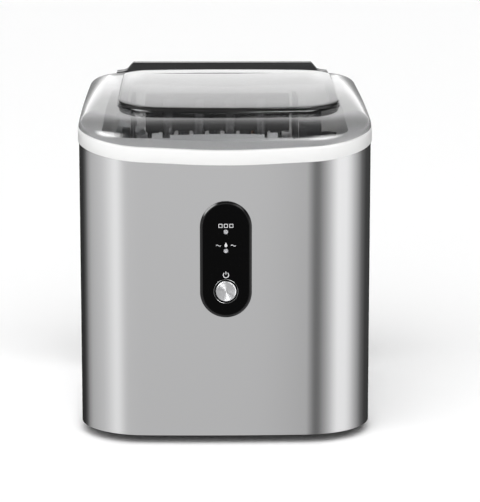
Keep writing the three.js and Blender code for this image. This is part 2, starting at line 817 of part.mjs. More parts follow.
function terminalCover() {
  const { x, y, radius } = COMPRESSOR;
  return box(x + radius + GAP, x + radius + 12, y - 34, y - 4, 52, 92);
}

// A fin pack with the hairpin ends of its tube standing out of both faces.
function condenserCoil() {
  const { x0, x1, y0, y1, z0, z1 } = CONDENSER;
  const fins = 15;
  const pitch = (y1 - y0) / fins;
  const blade = pitch * 0.4; // thickness of a fin
  const comb = [[x0, y0]];
  for (let i = 0; i < fins; i++) {
    const y = y0 + i * pitch;
    comb.push([x1, y], [x1, y + blade]);
    if (i < fins - 1) comb.push([x0 + 8, y + blade], [x0 + 8, y + pitch]);
  }
  const yEnd = y0 + (fins - 0.6) * pitch;
  comb.push([x0, yEnd]);
  const hairpin = (y, out, z) => {
    const x = x0 + 14;
    return tube([[x, y, z], [x, y + out, z + 7.5], [x, y, z + 15]], 3.2, 5, 6);
  };
  const bends = [];
  for (let i = 0; i < 4; i++) bends.push(hairpin(y0 + 4, -11, z0 + 10 + i * 30));
  for (let i = 0; i < 3; i++) bends.push(hairpin(yEnd - 1, 9, z0 + 25 + i * 30));
  return join(prismZ(polygon(comb), z0, z1), ...bends);
}

function fanShroud() {
  const x = 52;
  const plate = box(x, x + 2.5, CONDENSER.y0 + 2, CONDENSER.y1 - 8, 12.4, CONDENSER.z1);
  const ring = rodX(FAN.y, FAN.z, FAN.radius + 5, x - 8, x + 2, 28);
  return cut(join(plate, ring), rodX(FAN.y, FAN.z, FAN.radius + 2.5, x - 12, x + 6, 28));
}

function fanBlade() {
  const blades = [];
  const count = 5;
  const root = 6;
  const span = FAN.radius - root;
  const pitchAngle = 0.55;
  for (let i = 0; i < count; i++) {
    const blade = new THREE.BoxGeometry(2.2, span, 24).rotateY(pitchAngle).translate(0, span / 2 + root, 0);
    blades.push(blade.rotateX((i / count) * 2 * Math.PI).translate(40, FAN.y, FAN.z));
  }
  return join(rodX(FAN.y, FAN.z, FAN.hub, 33, 47, 20), ...blades);
}

const fanMotor = () => join(rodX(FAN.y, FAN.z, 18, 10, 29, 20), rodX(FAN.y, FAN.z, 3, 28, 32.6, 12));
const fanBracket = () =>
  join(box(6.6, 9.6, FAN.y - 14, FAN.y + 14, 12.4, 104), box(6.6, 26, FAN.y - 14, FAN.y + 14, 12.4, 15));

const DRIER = { x: 30, y: FRONT + 168 };
const DRIER_PROFILE = [
  [0, 60],
  [3, 62],
  [8, 68],
  [8, 112],
  [3, 118],
  [0, 120],
];
const hotGasValve = () =>
  join(
    box(-14, 10, FRONT + 150, FRONT + 172, 118, 146),
    rodZ(-2, FRONT + 161, 6, 96, 120, 12),
    rodX(FRONT + 161, 102, 3.5, -16, 12, 12),
  );

// The routes of the refrigerant tubes.
const DISCHARGE_ROUTE = [
  [-40, FRONT + 219, 138.5],
  [-30, FRONT + 205, 154],
  [10, FRONT + 196, 156],
  [58, FRONT + 174, 157],
  [71, FRONT + 174, 156],
  [74, FRONT + 176, 147],
];
const LIQUID_ROUTE = [
  [74, FRONT + 171, 30],
  [66, FRONT + 166, 24],
  [44, DRIER.y, 24],
  [DRIER.x, DRIER.y, 40],
  [DRIER.x, DRIER.y, 59],
];
const CAPILLARY_ROUTE = [
  [DRIER.x, DRIER.y, 121],
  [32, FRONT + 176, 140],
  [44, FRONT + 212, 148],
  [46, PIPES, 160],
  [46, PIPES, 200],
  [46, PIPES, 236],
  [48, FRONT + 212, 256],
  [52, FRONT + 184, 260],
];
const SUCTION_ROUTE = [
  [28, FRONT + 182.2, 260],
  [28, FRONT + 206, 259],
  [28, PIPES, 240],
  [28, PIPES, 200],
  [28, PIPES, 165],
  [14, FRONT + 218, 140],
  [-8, FRONT + 221, 120],
  [-22.6, FRONT + 229.2, 118],
];

const powerBoard = () => box(-108, -44, FRONT + 124, FRONT + 128, 66, 150);

function cordGland() {
  const { x, z } = GLAND;
  return cut(
    join(rodY(x, z, 9, REAR - 10, REAR + 0.2, 18), rodY(x, z, 12, REAR - 12, REAR - 3, 18)),
    rodY(x, z, 3.6, REAR - 15, REAR + 4, 12),
  );
}

function levelProbe() {
  const y = TUB.deepRear - 5;
  return join(
    box(-40, -24, y - 2, TUB.deepRear - WALL - GAP, 92, 102),
    rodZ(-36, y, 1.2, 48, 94, 8),
    rodZ(-28, y, 1.2, 62, 94, 8),
  );
}

const SENSOR = 6.5; // width of an ice sensor's housing
const iceSensor = (x) => box(x, x + SENSOR, FRONT + 119, FRONT + 132, 236, 254);

function rearScrew(x, z) {
  const head = rodY(x, z, 3.4, REAR + GAP, REAR + PROUD, 12);
  return cut(head, box(x - 2.4, x + 2.4, REAR + 1.4, REAR + 4, z - 0.5, z + 0.5));
}

// ---- Assembly ----
add("steel_wrap", steelWrap(), steel);
add("rear_panel", rearPanel(), darkPlastic);
add("base_pan", basePan(), darkPlastic);
add("top_frame", topFrame(), white);
add("inner_tub", innerTub(), grey);
add("hinge_cover", hingeCover(), black);
add("lid_shell", lidShell(), smoke);
add("lid_window", lidWindow(), smoke);
add("control_bezel", controlBezel(), black);
add("power_button", powerButton(), chrome);
add("ice_full_lens", lens(LENS.fullZ), silicone);
add("add_water_lens", lens(LENS.waterZ), silicone);
add("control_board", controlBoard(), board);
add("tact_switch", tactSwitch(), darkPlastic);
add("evaporator", evaporator(), chrome);
add("side_bracket_left", sideBracket(TRAY.left - 2 - BRACKET), darkPlastic);
add("side_bracket_right", sideBracket(TRAY.right + 2), darkPlastic);
add("water_tray", waterTray(), white);
add("ice_shovel", iceShovel(), white);
add("ice_basket", iceBasket(), white);
add("pump_housing", pumpHousing(), darkPlastic);
add("pump_impeller", pumpImpeller(), white);
add("inlet_hose", tube(INLET_ROUTE, HOSE, 12), silicone);
add("supply_hose", tube(SUPPLY_ROUTE, HOSE, 34), silicone);
add("drain_plug", drainPlug(), silicone);
add("compressor", compressorBody(), paint);
add("terminal_cover", terminalCover(), darkPlastic);
add("condenser", condenserCoil(), aluminium);
add("fan_shroud", fanShroud(), darkPlastic);
add("fan_blade", fanBlade(), darkPlastic);
add("fan_motor", fanMotor(), aluminium);
add("fan_bracket", fanBracket(), steel);
add("filter_drier", turned(DRIER_PROFILE, DRIER.x, DRIER.y, 14), copper);
add("hot_gas_valve", hotGasValve(), copper);
add("discharge_tube", tube(DISCHARGE_ROUTE, 2.6, 20), copper);
add("liquid_tube", tube(LIQUID_ROUTE, 2.6, 16), copper);
add("capillary_tube", tube(CAPILLARY_ROUTE, 2, 28), copper);
add("power_board", powerBoard(), board);
add("cord_gland", cordGland(), darkPlastic);
add("tray_motor", trayMotor(), darkPlastic);
add("tray_drive_shaft", trayShaft(), steel);
add("tray_pivot_pin", trayPin(), steel);
add("shovel_rod", shovelRod(), steel);
add("suction_tube", tube(SUCTION_ROUTE, 3, 26), copper);
add("hinge_pin_left", hingePin(-74.7), steel);
add("hinge_pin_right", hingePin(60.3), steel);
for (const [side, x] of [["left", -78], ["right", 78]]) {
  add(`front_foot_${side}`, foot(x, FRONT + 50), rubber);
  add(`rear_foot_${side}`, foot(x, REAR - 38), rubber);
}
add("grommet_left", grommet(-98, FRONT + 218), rubber);
add("grommet_right", grommet(-26, FRONT + 218), rubber);
add("grommet_rear", grommet(-62, FRONT + 286), rubber);
for (const [level, z] of [["lower", 20], ["upper", 222]]) {
  add(`rear_screw_${level}_left`, rearScrew(-72, z), steel);
  add(`rear_screw_${level}_right`, rearScrew(72, z), steel);
}
add("level_probe", levelProbe(), chrome);
add("ice_sensor_left", iceSensor(TRAY.left - 5 - GAP - SENSOR), darkPlastic);
add("ice_sensor_right", iceSensor(TRAY.right + 5 + GAP), darkPlastic);

export default group;
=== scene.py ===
"""The looks of a countertop ice maker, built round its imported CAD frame.

Lengths are in millimetres and become metres in MeshKit when a mesh is made. +Z is up and -Y is the front.
"""

import math

import bmesh
import bpy
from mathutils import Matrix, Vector


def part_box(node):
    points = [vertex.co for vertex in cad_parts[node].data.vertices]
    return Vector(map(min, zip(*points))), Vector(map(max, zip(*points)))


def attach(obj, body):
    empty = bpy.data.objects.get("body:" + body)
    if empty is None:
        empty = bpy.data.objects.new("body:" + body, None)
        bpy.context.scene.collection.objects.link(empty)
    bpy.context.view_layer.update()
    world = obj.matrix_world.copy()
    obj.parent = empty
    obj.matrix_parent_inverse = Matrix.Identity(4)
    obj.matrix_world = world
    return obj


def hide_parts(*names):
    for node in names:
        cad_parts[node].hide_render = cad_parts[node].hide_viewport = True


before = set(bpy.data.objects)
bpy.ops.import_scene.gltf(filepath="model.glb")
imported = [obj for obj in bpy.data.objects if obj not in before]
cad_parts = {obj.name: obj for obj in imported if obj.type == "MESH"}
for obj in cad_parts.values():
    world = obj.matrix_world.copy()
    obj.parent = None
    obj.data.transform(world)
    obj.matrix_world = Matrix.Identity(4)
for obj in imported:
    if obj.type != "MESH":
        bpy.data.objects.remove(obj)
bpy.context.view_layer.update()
MM = 0.001


def box_mm(node):
    low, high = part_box(node)
    return low / MM, high / MM


# ---- Driving dimensions, read off the frame where it holds them ----
WRAP_LOW, WRAP_HIGH = box_mm("steel_wrap")
PANEL_LOW, PANEL_HIGH = box_mm("rear_panel")
HALF = WRAP_HIGH.x
FRONT = WRAP_LOW.y
REAR = PANEL_HIGH.y
FLOOR_GAP = WRAP_LOW.z
SEAM_HEIGHT = 231.3  # top edge of the steel at the middle of the front
SEAM_RISE = 20  # how far that edge climbs towards the back
SEAM_RUN = 75  # the depth over which it does most of its climbing
SEAM_SMILE = 2.2  # how far it also climbs from the middle of the front to the corners
SMILE_HALF = 85  # where, to each side of the middle, that climb ends
BAND = 12.2  # height of the white band
BULGE = 5  # how far the front bows out
FRONT_RADIUS = 54
REAR_RADIUS = 26
GAP = 0.3  # clearance between neighbouring pieces
STEEL = 0.8
WALL = 2.5  # moulded walls
LID_REAR = FRONT + 276.5
LID_TOP = 266  # height of the lid's flat top at its front edge
LID_TOP_AT = FRONT + 49
LID_SLOPE = 0.062
LID_ARCH = 1.8
LID_CROWN = 1.5
SHOULDER_SIDE, SHOULDER_FRONT, SHOULDER_REAR = 17, 38, 11  # how far the lid's shoulder reaches inwards
SHOULDER_POWER = 2.6  # how square it is
PLATE = 4.6  # thickness of the raised window
PLATE_SHIFT = 3.5  # how far it sits to the right of the middle
HINGE_Y = FRONT + 281
HINGE_Z = 275

# ---- Mesh kit ----


def smooth(mesh, angle=35):
    mesh.polygons.foreach_set("use_smooth", [True] * len(mesh.polygons))
    mesh.set_sharp_from_angle(angle=math.radians(angle))


def make(name, vertices, faces, angle=35):
    """A mesh object from millimetre points, with its faces turned outwards."""
    mesh = bpy.data.meshes.new(name)
    mesh.from_pydata([Vector(v) * MM for v in vertices], [], faces)
    tidy = bmesh.new()
    tidy.from_mesh(mesh)
    bmesh.ops.remove_doubles(tidy, verts=tidy.verts, dist=1e-6)
    bmesh.ops.recalc_face_normals(tidy, faces=tidy.faces)
    tidy.to_mesh(mesh)
    tidy.free()
    smooth(mesh, angle)
    piece = bpy.data.objects.new(name, mesh)
    bpy.context.scene.collection.objects.link(piece)
    return piece


def loft(name, sections, cyclic=False, angle=35):
    """Joins closed sections of one length into a solid: a ring if cyclic, or capped at both ends."""
    size = len(sections[0])
    vertices = [p for section in sections for p in section]
    faces = []
    for s in range(len(sections) if cyclic else len(sections) - 1):
        here, after = s * size, (s + 1) % len(sections) * size
        for i in range(size):
            j = (i + 1) % size
            faces.append((here + i, here + j, after + j, after + i))
    if not cyclic:
        faces.append(tuple(range(size)))
        faces.append(tuple(range(len(vertices) - size, len(vertices))))
    return make(name, vertices, faces, angle)


def prism(name, outline_points, axis, low, high, angle=35):
    """A flat outline pushed along an axis. Its two numbers are the other two axes, in X, Y, Z order."""

    def place(u, v, w):
        return {"x": (w, u, v), "y": (u, w, v), "z": (u, v, w)}[axis]

    return loft(name, [[place(u, v, w) for u, v in outline_points] for w in (low, high)], angle=angle)


def block(name, low, high):
    x0, y0, z0 = low
    x1, y1, z1 = high
    return prism(name, [(x0, y0), (x1, y0), (x1, y1), (x0, y1)], "z", z0, z1)


def lathe(name, profile, centre, axis="z", steps=48, angle=35):
    """Turns (radius, height) pairs about an axis through centre. The height is a place along that axis."""
    sections = []
    for radius, height in profile:
        ring = []
        for i in range(steps):
            turn = 2 * math.pi * i / steps
            a, b = radius * math.cos(turn), radius * math.sin(turn)
            ring.append(
                {
                    "x": (height, centre[0] + a, centre[1] + b),
                    "y": (centre[0] + a, height, centre[1] + b),
                    "z": (centre[0] + a, centre[1] + b, height),
                }[axis]
            )
        sections.append(ring)
    return loft(name, sections, angle=angle)


def rounded_rect(u0, u1, v0, v1, radius, steps=8):
    left, right = u0 + radius, u1 - radius
    bottom, top = v0 + radius, v1 - radius
    points = []
    for u, v, start in ((right, bottom, -90), (right, top, 0), (left, top, 90), (left, bottom, 180)):
        for i in range(steps + 1):
            turn = math.radians(start + 90 * i / steps)
            points.append((u + radius * math.cos(turn), v + radius * math.sin(turn)))
    return points


def apply_modifiers(piece, angle=35):
    graph = bpy.context.evaluated_depsgraph_get()
    mesh = bpy.data.meshes.new_from_object(piece.evaluated_get(graph))
    piece.modifiers.clear()
    piece.data = mesh
    smooth(mesh, angle)
    return piece


def combine(piece, others, operation):
    for other in others:
        step = piece.modifiers.new(operation, "BOOLEAN")
        step.operation = operation
        step.solver = "EXACT"
        step.object = other
    apply_modifiers(piece)
    for other in others:
        bpy.data.objects.remove(other)
    return piece


def cut(piece, *cutters):
    return combine(piece, cutters, "DIFFERENCE")


def fuse(piece, *others):
    return combine(piece, others, "UNION")


def bevel(piece, width, segments=2, angle=30):
    """Rounds the sharp edges by so many millimetres."""
    step = piece.modifiers.new("bevel", "BEVEL")
    step.width = width * MM
    step.segments = segments
    step.limit_method = "ANGLE"
    step.angle_limit = math.radians(angle)
    return apply_modifiers(piece)


def finish_piece(piece, body, material, slot, *nodes):
    piece.data.materials.clear()
    piece.data.materials.append(material)
    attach(piece, body)
    if nodes:
        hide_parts(*nodes)
    return piece


def refine(node, body, material, slot, edge=0.3, angle=35):
    """A smooth-shaded copy of a CAD node with its sharp edges rounded, standing for that node."""
    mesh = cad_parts[node].data.copy()
    tidy = bmesh.new()
    tidy.from_mesh(mesh)
    bmesh.ops.remove_doubles(tidy, verts=tidy.verts, dist=2e-6)
    bmesh.ops.dissolve_limit(tidy, angle_limit=math.radians(1), verts=tidy.verts, edges=tidy.edges)
    tidy.to_mesh(mesh)
    tidy.free()
    if mesh.attributes.get("custom_normal"):
        mesh.attributes.remove(mesh.attributes["custom_normal"])
    piece = bpy.data.objects.new(node + "_fine", mesh)
    bpy.context.scene.collection.objects.link(piece)
    if edge:
        bevel(piece, edge, 2, angle)
    smooth(piece.data, angle)
    return finish_piece(piece, body, material, slot, node)


# ---- The plan outline and the heights that the casing, the rim and the lid share ----
SIDE_STEPS = 16
FRONT_CORNER_STEPS = 28
FRONT_STEPS = 90
REAR_CORNER_STEPS = 16
REAR_STEPS = 12
WRAP_POINTS = 2 * SIDE_STEPS + 2 * FRONT_CORNER_STEPS + FRONT_STEPS + 1


def arc(x, y, radius, start, steps):
    turns = [start + i / steps * math.pi / 2 for i in range(steps)]
    return [(x + radius * math.cos(t), y + radius * math.sin(t)) for t in turns]


def straight(x0, y0, x1, y1, steps, power=1):
    shares = [1 - (1 - i / steps) ** power for i in range(steps)]
    return [(x0 + (x1 - x0) * s, y0 + (y1 - y0) * s) for s in shares]


def outline(half, front, rear, front_radius, rear_radius, bulge=BULGE):
    """Points run anticlockwise from above: left side, front, right side, rear."""
    base = front + bulge
    fy = base + front_radius
    ry = rear - rear_radius
    points = (
        straight(-half, ry, -half, fy, SIDE_STEPS, 1.6)
        + arc(-half + front_radius, fy, front_radius, math.pi, FRONT_CORNER_STEPS)
        + straight(-half + front_radius, base, half - front_radius, base, FRONT_STEPS)
        + arc(half - front_radius, fy, front_radius, -math.pi / 2, FRONT_CORNER_STEPS)
        + straight(half, fy, half, ry, SIDE_STEPS, 1 / 1.6)
        + arc(half - rear_radius, ry, rear_radius, 0, REAR_CORNER_STEPS)
        + straight(half - rear_radius, rear, -half + rear_radius, rear, REAR_STEPS)
        + arc(-half + rear_radius, ry, rear_radius, math.pi / 2, REAR_CORNER_STEPS)
    )

    def bowed(x, y):
        return y - bulge * (1 - (x / half) ** 2) if y < fy + 1e-6 else y

    return [(x, bowed(x, y)) for x, y in points]


def body_outline(inset):
    return outline(HALF - inset, FRONT + inset, REAR - inset, FRONT_RADIUS - inset, REAR_RADIUS - inset)


def lid_outline(inset):
    half, front, rear = HALF + 0.2 - inset, FRONT - 0.2 + inset, LID_REAR - inset
    return outline(half, front, rear, FRONT_RADIUS - inset, REAR_RADIUS - inset)


def plate_outline(inset):
    points = outline(94 - inset, FRONT + 47 + inset, FRONT + 247 - inset, 34 - inset, 26 - inset, 12)
    return [(x + PLATE_SHIFT, y) for x, y in points]


def seam(p):
    """The height of the edge between the steel and the white band."""
    rise = SEAM_RISE * (1 - math.exp(-(p[1] - FRONT) / SEAM_RUN))
    smile = SEAM_SMILE * (1 - math.cos(math.pi * min(abs(p[0]) / SMILE_HALF, 1))) / 2
    return SEAM_HEIGHT + rise + smile


def lid_top(p):
    """The height of the lid's top: it climbs to the rear, and is slightly arched and crowned."""
    along = (p[1] - LID_TOP_AT) / (LID_REAR - LID_TOP_AT)
    arch = 4 * LID_ARCH * along * (1 - along)
    return LID_TOP + LID_SLOPE * (p[1] - LID_TOP_AT) + arch + LID_CROWN * (1 - (p[0] / HALF) ** 2)


def between(p, q, share):
    return (p[0] + (q[0] - p[0]) * share, p[1] + (q[1] - p[1]) * share)


# ---- Materials ----


def material(name, color, roughness, metallic=0.0, **more):
    made = bpy.data.materials.new(name)
    made.use_nodes = True
    shader = made.node_tree.nodes["Principled BSDF"]
    shader.inputs["Base Color"].default_value = (*color, 1)
    shader.inputs["Roughness"].default_value = roughness
    shader.inputs["Metallic"].default_value = metallic
    for key, value in more.items():
        shader.inputs[key.replace("_", " ")].default_value = value
    return made


def node(made, kind, **settings):
    built = made.node_tree.nodes.new(kind)
    for key, value in settings.items():
        setattr(built, key, value)
    return built


def shader_of(made):
    return made.node_tree.nodes["Principled BSDF"]


def noise(made, scale, detail=3, stretch=(1, 1, 1)):
    """Noise in the object's own coordinates, with its scale in features per metre."""
    links = made.node_tree.links
    place = node(made, "ShaderNodeTexCoord")
    mapping = node(made, "ShaderNodeMapping")
    mapping.inputs["Scale"].default_value = stretch
    grain = node(made, "ShaderNodeTexNoise")
    grain.inputs["Scale"].default_value = scale
    grain.inputs["Detail"].default_value = detail
    links.new(place.outputs["Object"], mapping.inputs["Vector"])
    links.new(mapping.outputs["Vector"], grain.inputs["Vector"])
    return grain.outputs["Fac"]


def vary(made, source, socket, low, high):
    """Drives a shader number between two values by a grey source."""
    spread = node(made, "ShaderNodeMapRange")
    spread.inputs["From Min"].default_value = 0.3
    spread.inputs["From Max"].default_value = 0.7
    spread.inputs["To Min"].default_value = low
    spread.inputs["To Max"].default_value = high
    made.node_tree.links.new(source, spread.inputs["Value"])
    made.node_tree.links.new(spread.outputs["Result"], shader_of(made).inputs[socket])


def tint(made, source, dark, light):
    """Drives the base colour between two colours by a grey source."""
    ramp = node(made, "ShaderNodeValToRGB")
    ramp.color_ramp.elements[0].position, ramp.color_ramp.elements[1].position = 0.3, 0.7
    ramp.color_ramp.elements[0].color = (*dark, 1)
    ramp.color_ramp.elements[1].color = (*light, 1)
    made.node_tree.links.new(source, ramp.inputs["Fac"])
    made.node_tree.links.new(ramp.outputs["Color"], shader_of(made).inputs["Base Color"])


def roughen(made, source, distance, strength=1.0):
    """Bump from a grey source, with its depth in millimetres."""
    bump = node(made, "ShaderNodeBump")
    bump.inputs["Distance"].default_value = distance * MM
    bump.inputs["Strength"].default_value = strength
    made.node_tree.links.new(source, bump.inputs["Height"])
    made.node_tree.links.new(bump.outputs["Normal"], shader_of(made).inputs["Normal"])


def draw_out(made, axis, share, rotation):
    """Draws highlights out into streaks that are turned from the way round an axis."""
    tangent = node(made, "ShaderNodeTangent", direction_type="RADIAL", axis=axis)
    made.node_tree.links.new(tangent.outputs["Tangent"], shader_of(made).inputs["Tangent"])
    shader_of(made).inputs["Anisotropic"].default_value = share
    shader_of(made).inputs["Anisotropic Rotation"].default_value = rotation


def brushed_steel():
    """Steel with long, fine strokes that run level."""
    made = material("stainless_steel", (0.62, 0.62, 0.625), 0.2, 1.0)
    draw_out(made, "Z", 0.75, 0.25)
    strokes = noise(made, 1, 6, (6, 6, 5200))
    vary(made, strokes, "Roughness", 0.15, 0.185)
    roughen(made, strokes, 0.002, 0.15)
    return made


def moulded(name, color, roughness, grain=0.0, grain_scale=1800, **more):
    """Moulded plastic: a slow drift in gloss and, if asked for, a fine spark-eroded texture."""
    made = material(name, color, roughness, **more)
    vary(made, noise(made, 60, 2), "Roughness", roughness * 0.95, roughness * 1.05)
    if grain:
        roughen(made, noise(made, grain_scale, 4), grain, 0.6)
    return made


def smoked(name, tone):
    """Tinted clear plastic. Shadow rays pass through it, dimmed, so that the lamps light the inside."""
    made = material(name, (tone, tone, tone * 1.01), 0.03, Transmission_Weight=1.0, IOR=1.49)
    vary(made, noise(made, 25, 2), "Roughness", 0.015, 0.035)
    through = node(made, "ShaderNodeBsdfTransparent")
    through.inputs["Color"].default_value = (math.sqrt(tone), math.sqrt(tone), math.sqrt(tone), 1)
    path = node(made, "ShaderNodeLightPath")
    chosen = node(made, "ShaderNodeMixShader")
    links = made.node_tree.links
    links.new(path.outputs["Is Shadow Ray"], chosen.inputs[0])
    links.new(shader_of(made).outputs[0], chosen.inputs[1])
    links.new(through.outputs[0], chosen.inputs[2])
    links.new(chosen.outputs[0], made.node_tree.nodes["Material Output"].inputs["Surface"])
    return made


def spun_metal():
    """Aluminium faced on a lathe, with a highlight like the two blades of a fan."""
    made = material("spun_aluminium", (0.72, 0.72, 0.73), 0.5, 1.0)
    draw_out(made, "Y", 0.9, 0.12)
    vary(made, noise(made, 900, 2), "Roughness", 0.42, 0.56)
    return made


def plated():
    """Nickel over a turned surface, which draws highlights out along the finger."""
    made = material("plated_fingers", (0.3, 0.3, 0.305), 0.25, 1.0)
    draw_out(made, "Z", 0.97, 0.25)
    vary(made, noise(made, 300, 2), "Roughness", 0.22, 0.28)
    return made


def metal(name, color, roughness, scale=220, contrast=0.12):
    """Plain metal with a drift in its gloss and a slower one in its tone."""
    made = material(name, color, roughness, 1.0)
    vary(made, noise(made, scale, 3), "Roughness", roughness * 0.75, roughness * 1.3)
    darker = tuple(c * (1 - contrast) for c in color)
    tint(made, noise(made, scale / 3, 2), darker, color)
    return made


def circuit_board():
    """Green solder mask with a lighter grid of tracks under it."""
    made = material("circuit_board", (0.02, 0.12, 0.05), 0.35)
    place = node(made, "ShaderNodeTexCoord")
    tracks = node(made, "ShaderNodeTexBrick")
    tracks.inputs["Scale"].default_value = 120
    tracks.inputs["Mortar Size"].default_value = 0.03
    made.node_tree.links.new(place.outputs["Object"], tracks.inputs["Vector"])
    tint(made, tracks.outputs["Fac"], (0.015, 0.1, 0.04), (0.05, 0.22, 0.1))
    return made


STEEL_LOOK = brushed_steel()
WHITE = moulded("white_plastic", (0.8, 0.8, 0.795), 0.3)
INNER_WHITE = moulded("inner_white_plastic", (0.82, 0.83, 0.83), 0.35)
# The inner tub's grey is set darker than its plastic, to stand for the shade inside the closed machine: part
# its own colour, part painted shade.
INNER_GREY_AND_SHADE = moulded("inner_grey_and_painted_shade", (0.1, 0.1, 0.103), 0.4)
BLACK = moulded("black_plastic", (0.022, 0.022, 0.024), 0.5, 0.05)
GLOSS = moulded("gloss_black", (0.0015, 0.0015, 0.0016), 0.08, Specular_IOR_Level=0.04)
BAR = moulded("gloss_black_bridge", (0.012, 0.012, 0.013), 0.16)
BEZEL = moulded("polished_black", (0.002, 0.002, 0.0022), 0.08, Specular_IOR_Level=0.4)
PRINTED = moulded("white_print", (0.62, 0.62, 0.63), 0.5)
FOAM = moulded("insulating_foam", (0.012, 0.012, 0.012), 0.85, 0.12, 700)
SMOKE = smoked("smoked_plastic", 0.5)
SPUN = spun_metal()
DARK_CHROME = metal("dark_chrome", (0.3, 0.3, 0.3), 0.2)
LENS = moulded("lens", (0.5, 0.5, 0.52), 0.18)
BOARD = circuit_board()
PLATED = plated()
SILICONE = moulded("silicone", (0.75, 0.77, 0.77), 0.4, Transmission_Weight=0.35)
ENAMEL = moulded("black_paint", (0.012, 0.012, 0.014), 0.28, 0.03, 300)
ALUMINIUM = metal("aluminium", (0.74, 0.75, 0.76), 0.32)
ZINC = metal("zinc_steel", (0.66, 0.66, 0.63), 0.35)
COPPER = metal("copper", (0.72, 0.36, 0.2), 0.28)
RUBBER = moulded("rubber", (0.02, 0.02, 0.02), 0.8, 0.04, 900)

# ---- Casing ----
PILL_Z = sum(v.z for v in box_mm("control_bezel")) / 2
PILL_HALF_WIDTH = box_mm("control_bezel")[1].x
PILL_HALF_HEIGHT = box_mm("control_bezel")[1].z - PILL_Z
VENT_PITCH = 10
VENT_COUNT = 9
GLAND_RADIUS = 9.3
GLAND_AT = (-66, 40)


def pill(half_width, half_height, steps=20):
    low, high = PILL_Z - half_height, PILL_Z + half_height
    return rounded_rect(-half_width, half_width, low, high, half_width - 0.01, steps)


def vents(axis, across, through, bottom, height):
    """Cutters for a stack of round-ended slots through a wall square to the axis."""
    cutters = []
    for i in range(VENT_COUNT):
        z = bottom + i * VENT_PITCH
        slot = rounded_rect(*across, z, z + height, height / 2 - 0.01, 6)
        cutters.append(prism("cutter", slot, axis, *through))
    return cutters


def upright_wall(name, outer, inner):
    """A wall between two lines in plan, from the lower edge of the casing up to the seam."""
    sections = []
    for o, i in zip(outer, inner):
        top = seam(o)
        sections.append([(*o, FLOOR_GAP), (*o, top), (*i, top), (*i, FLOOR_GAP)])
    return loft(name, sections)


def steel_wrap():
    wall = upright_wall("steel_wrap_skin", body_outline(0)[:WRAP_POINTS], body_outline(STEEL)[:WRAP_POINTS])
    window = prism("cutter", pill(PILL_HALF_WIDTH - 1.5, PILL_HALF_HEIGHT - 1.5), "y", FRONT - 5, FRONT + 12)
    cut(wall, window, *vents("x", (FRONT + 196, FRONT + 248), (HALF - 4, HALF + 4), 44, 3.4))
    return finish_piece(wall, "casing", STEEL_LOOK, "stainless_steel", "steel_wrap")


def rear_panel():
    outer = body_outline(0)[WRAP_POINTS - 1 :] + body_outline(0)[:1]
    inner = body_outline(WALL)[WRAP_POINTS - 1 :] + body_outline(WALL)[:1]
    panel = upright_wall("rear_panel_moulding", outer, inner)
    through = (REAR - 6, REAR + 4)
    gland = lathe("cutter", [(GLAND_RADIUS, y) for y in through], GLAND_AT, "y")
    trim = block("cutter", (-200, REAR - REAR_RADIUS - 20, 0), (200, PANEL_LOW.y, 300))
    louvres = vents("y", (-66, -10), through, 72, 4) + vents("y", (10, 66), through, 72, 4)
    cut(panel, trim, gland, *louvres)
    bevel(panel, 0.5, 2)
    return finish_piece(panel, "casing", BLACK, "black_plastic", "rear_panel")


def rim():
    """The white moulding between the steel and the lid."""
    outer, hidden = body_outline(-0.8), body_outline(2)
    inner = outline(101, FRONT + 21, FRONT + 265, 24, 26)
    skirt = outline(103, FRONT + 19, FRONT + 267, 24, 26)
    skirt_foot = 228.4
    sections = []
    for o, h, i, k in zip(outer, hidden, inner, skirt):
        low, high, top = seam(o) + GAP, seam(o) + BAND, seam(i) + BAND
        sections.append(
            [
                (*between(o, h, 0.12), low),
                (*o, low + 0.5),
                (*o, high - 1.3),
                (*between(o, h, 0.04), high - 0.7),
                (*between(o, h, 0.14), high - 0.2),
                (*between(o, h, 0.35), high),
                (*between(o, i, 0.5), (high + top) / 2),
                (*i, top),
                (*i, skirt_foot),
                (*k, skirt_foot),
                (*k, top - 2.5),
                (*h, seam(h) + BAND - 3),
                (*h, low),
            ]
        )
    ring = loft("white_rim", sections, cyclic=True)
    return finish_piece(ring, "casing", WHITE, "white_plastic", "top_frame")


EAR_WIDTH = 5
EAR_RADIUS = 3.5
KNUCKLE_WIDTH = 8


def hinge_cover():
    """The bridge behind the lid, with its ends swept down to the rim and an ear for each hinge pin."""
    low, high = box_mm("hinge_cover")
    y0, y1, bottom, top = FRONT + 287.5, high.y, low.z, high.z
    profile = [
        (y0, bottom),
        (y1, bottom),
        (y1 - 1, top - 9),
        (y1 - 4, top - 3),
        (y1 - 9, top),
        (y0 + 3, top),
        (y0 + 0.8, top - 1.2),
    ]
    bar = prism("hinge_bridge", profile, "x", low.x, high.x)
    sweep = [(82, 1), (82.5, 0), (84.5, -2), (86.5, -4.5), (88.5, -6.8), (91.5, -7.9), (97, -8.6)]
    sweep += [(110, -8.6), (110, 1)]
    ends = []
    for side in (-1, 1):
        ends.append(prism("cutter", [(side * x, top + z) for x, z in sweep], "y", y0 - 1, y1 + 1))
    cut(bar, *ends)
    bevel(bar, 0.9, 3, 20)
    for x in (-75, 70):
        ear = lathe("ear", [(EAR_RADIUS, x), (EAR_RADIUS, x + EAR_WIDTH)], (HINGE_Y, HINGE_Z), "x")
        arm = block("arm", (x, HINGE_Y, HINGE_Z - 3.4), (x + EAR_WIDTH, y0 + 1, HINGE_Z + 3))
        fuse(bar, ear, arm)
    return finish_piece(bar, "casing", BAR, "gloss_black", "hinge_cover")


# ---- Lid ----
SHOULDER_STEPS = 14
SHOULDER_TURN = math.radians(74)


def shoulder_shares(count):
    """Shares across and up the shoulder's squared-off arc, which stops short of level and leaves a crease."""
    turns = [SHOULDER_TURN * i / count for i in range(count + 1)]
    power = 2 / SHOULDER_POWER
    points = [(1 - math.cos(t) ** power, math.sin(t) ** power) for t in turns]
    across, up = points[-1]
    return [(a / across, u / up) for a, u in points]


